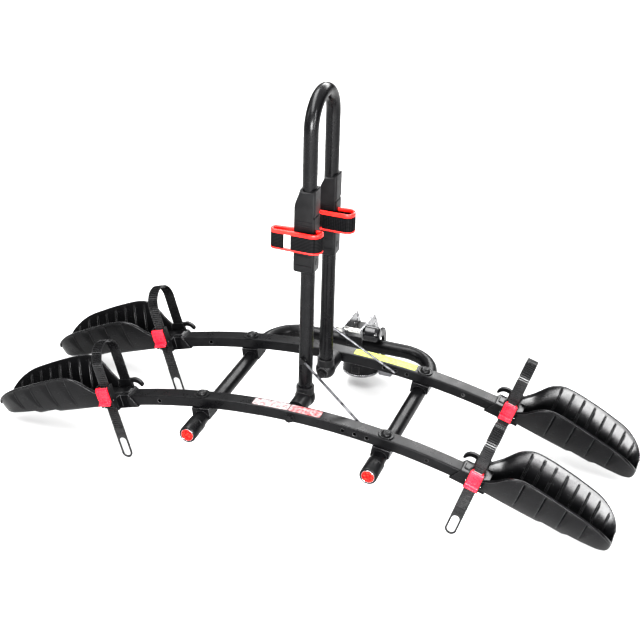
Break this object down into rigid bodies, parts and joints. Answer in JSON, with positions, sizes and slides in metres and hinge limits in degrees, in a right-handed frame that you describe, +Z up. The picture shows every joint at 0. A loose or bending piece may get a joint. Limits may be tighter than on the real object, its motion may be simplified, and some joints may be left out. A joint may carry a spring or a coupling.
{
  "type": "hitch mounted bike rack",
  "caption": "Platform bicycle carrier for a tow ball: arched wheel rails with moulded trays and ratchet straps on a tubular frame, with a folding hoop mast that holds the bicycle frames.",
  "frame": {"origin": "centre of the tow ball socket, which is the mount tow_ball", "axes": "+Z up, +Y towards the car, +X along the wheel rails, with the front rail, the one away from the car, at -Y"},
  "size_m": [1.3848, 0.6138, 0.8566],
  "materials": {
    "frame_paint": "satin black powder coat",
    "mast_paint": "semi-gloss black powder coat",
    "cast_black": "satin black over a casting",
    "fastener_black": "black-coated steel",
    "fastener_zinc": "zinc plated",
    "chrome_plate": "polished",
    "cap_plastic": "satin",
    "reflector_red": "prismatic, glossy",
    "stay_steel": "drawn wire",
    "holder_plastic": "fine grained",
    "rubber_red": "smooth",
    "band_webbing": "woven webbing",
    "tray_plastic": "satin, glossy inside",
    "strap_plastic": "ladder toothed, satin",
    "buckle_plastic": "satin",
    "lever_red": "moulded, semi-gloss",
    "hub_plastic": "glossy",
    "grip_grey": "soft touch"
  },
  "bodies": {
    "frame": {"ball_cup": "cast_black", "base_frame": "frame_paint", "bolt_washers": "fastener_black", "buckle_pins": "fastener_zinc", "clamp_saddle": "frame_paint", "clamp_shaft": "fastener_zinc", "cup_bolts": "fastener_zinc", "cup_rim": "chrome_plate", "frame_end_caps": "cap_plastic", "frame_rivet_nuts": "fastener_black", "front_left_buckle_base": "buckle_plastic", "front_left_wheel_strap": "strap_plastic", "front_left_wheel_tray": "tray_plastic", "front_rail": "frame_paint", "front_right_buckle_base": "buckle_plastic", "front_right_wheel_strap": "strap_plastic", "front_right_wheel_tray": "tray_plastic", "left_cheek_plate": "chrome_plate", "pivot_bolts": "fastener_black", "pivot_nuts": "fastener_black", "rail_bolts": "fastener_black", "rail_saddles": "frame_paint", "rear_left_buckle_base": "buckle_plastic", "rear_left_wheel_strap": "strap_plastic", "rear_left_wheel_tray": "tray_plastic", "rear_rail": "frame_paint", "rear_reflectors": "reflector_red", "rear_right_buckle_base": "buckle_plastic", "rear_right_wheel_strap": "strap_plastic", "rear_right_wheel_tray": "tray_plastic", "right_cheek_plate": "chrome_plate", "strap_anchors": "buckle_plastic", "thrust_washers": "cap_plastic", "tray_bolts": "fastener_black"},
    "mast": {"mast_hoop": "mast_paint", "front_knuckle": "cast_black", "rear_knuckle": "cast_black", "stay_studs": "fastener_black"},
    "front_stay": {"front_stay": "stay_steel"},
    "rear_stay": {"rear_stay": "stay_steel"},
    "front_holder": {"front_frame_holder": "holder_plastic", "front_rubber_loop": "rubber_red", "front_loop_band": "band_webbing"},
    "rear_holder": {"rear_frame_holder": "holder_plastic", "rear_rubber_loop": "rubber_red", "rear_loop_band": "band_webbing"},
    "clamp_lever": {"lever_hub": "hub_plastic", "lever_arm": "fastener_black", "lever_grip": "grip_grey"},
    "clamp_jaw": {"clamp_jaw": "fastener_zinc"},
    "front_left_buckle_lever": {"front_left_buckle_lever": "lever_red"},
    "front_left_buckle_pawl": {"front_left_buckle_pawl": "buckle_plastic"},
    "front_right_buckle_lever": {"front_right_buckle_lever": "lever_red"},
    "front_right_buckle_pawl": {"front_right_buckle_pawl": "buckle_plastic"},
    "rear_left_buckle_lever": {"rear_left_buckle_lever": "lever_red"},
    "rear_left_buckle_pawl": {"rear_left_buckle_pawl": "buckle_plastic"},
    "rear_right_buckle_lever": {"rear_right_buckle_lever": "lever_red"},
    "rear_right_buckle_pawl": {"rear_right_buckle_pawl": "buckle_plastic"}
  },
  "joints": [
    {"name": "mast_fold", "type": "hinge", "parent": "frame", "child": "mast", "pos_m": [0, -0.32, 0.108], "axis": [0, 1, 0], "range_deg": [-72, 0]},
    {"name": "front_stay_swing", "type": "hinge", "parent": "mast", "child": "front_stay", "pos_m": [0, -0.4025, 0.207], "axis": [0, 1, 0], "range_deg": [-120, 10]},
    {"name": "rear_stay_swing", "type": "hinge", "parent": "mast", "child": "rear_stay", "pos_m": [0, -0.2375, 0.207], "axis": [0, 1, 0], "range_deg": [-120, 10]},
    {"name": "front_holder_slide", "type": "slide", "parent": "mast", "child": "front_holder", "axis": [0, 0, 1], "range_m": [-0.06, 0.1]},
    {"name": "rear_holder_slide", "type": "slide", "parent": "mast", "child": "rear_holder", "axis": [0, 0, 1], "range_m": [-0.06, 0.1]},
    {"name": "clamp_lever_turn", "type": "hinge", "parent": "frame", "child": "clamp_lever", "pos_m": [0.03, -0.052, 0.097], "axis": [1, 0, 0], "range_deg": [0, 100]},
    {"name": "clamp_jaw_slide", "type": "slide", "parent": "frame", "child": "clamp_jaw", "axis": [0, -1, 0], "range_m": [0, 0.005]},
    {"name": "front_left_lever_lift", "type": "hinge", "parent": "frame", "child": "front_left_buckle_lever", "pos_m": [-0.41556, -0.5085, 0.10003], "axis": [-0.9562, 0, -0.2928], "range_deg": [0, 60], "stiffness_Nm_per_rad": 0.02, "springref_deg": -22.92},
    {"name": "front_left_pawl_release", "type": "hinge", "parent": "frame", "child": "front_left_buckle_pawl", "pos_m": [-0.40736, -0.51, 0.07326], "axis": [-0.9562, 0, -0.2928], "range_deg": [0, 12], "stiffness_Nm_per_rad": 0.01, "springref_deg": -22.92},
    {"name": "front_right_lever_lift", "type": "hinge", "parent": "frame", "child": "front_right_buckle_lever", "pos_m": [0.41556, -0.5085, 0.10003], "axis": [-0.9562, 0, 0.2928], "range_deg": [0, 60], "stiffness_Nm_per_rad": 0.02, "springref_deg": -22.92},
    {"name": "front_right_pawl_release", "type": "hinge", "parent": "frame", "child": "front_right_buckle_pawl", "pos_m": [0.40736, -0.51, 0.07326], "axis": [-0.9562, 0, 0.2928], "range_deg": [0, 12], "stiffness_Nm_per_rad": 0.01, "springref_deg": -22.92},
    {"name": "rear_left_lever_lift", "type": "hinge", "parent": "frame", "child": "rear_left_buckle_lever", "pos_m": [-0.41556, -0.2335, 0.10003], "axis": [-0.9562, 0, -0.2928], "range_deg": [0, 60], "stiffness_Nm_per_rad": 0.02, "springref_deg": -22.92},
    {"name": "rear_left_pawl_release", "type": "hinge", "parent": "frame", "child": "rear_left_buckle_pawl", "pos_m": [-0.40736, -0.235, 0.07326], "axis": [-0.9562, 0, -0.2928], "range_deg": [0, 12], "stiffness_Nm_per_rad": 0.01, "springref_deg": -22.92},
    {"name": "rear_right_lever_lift", "type": "hinge", "parent": "frame", "child": "rear_right_buckle_lever", "pos_m": [0.41556, -0.2335, 0.10003], "axis": [-0.9562, 0, 0.2928], "range_deg": [0, 60], "stiffness_Nm_per_rad": 0.02, "springref_deg": -22.92},
    {"name": "rear_right_pawl_release", "type": "hinge", "parent": "frame", "child": "rear_right_buckle_pawl", "pos_m": [0.40736, -0.235, 0.07326], "axis": [-0.9562, 0, 0.2928], "range_deg": [0, 12], "stiffness_Nm_per_rad": 0.01, "springref_deg": -22.92}
  ],
  "couplings": [
    {"joint": "clamp_jaw_slide", "follows": "clamp_lever_turn", "m_per_rad": 0.00286}
  ]
}
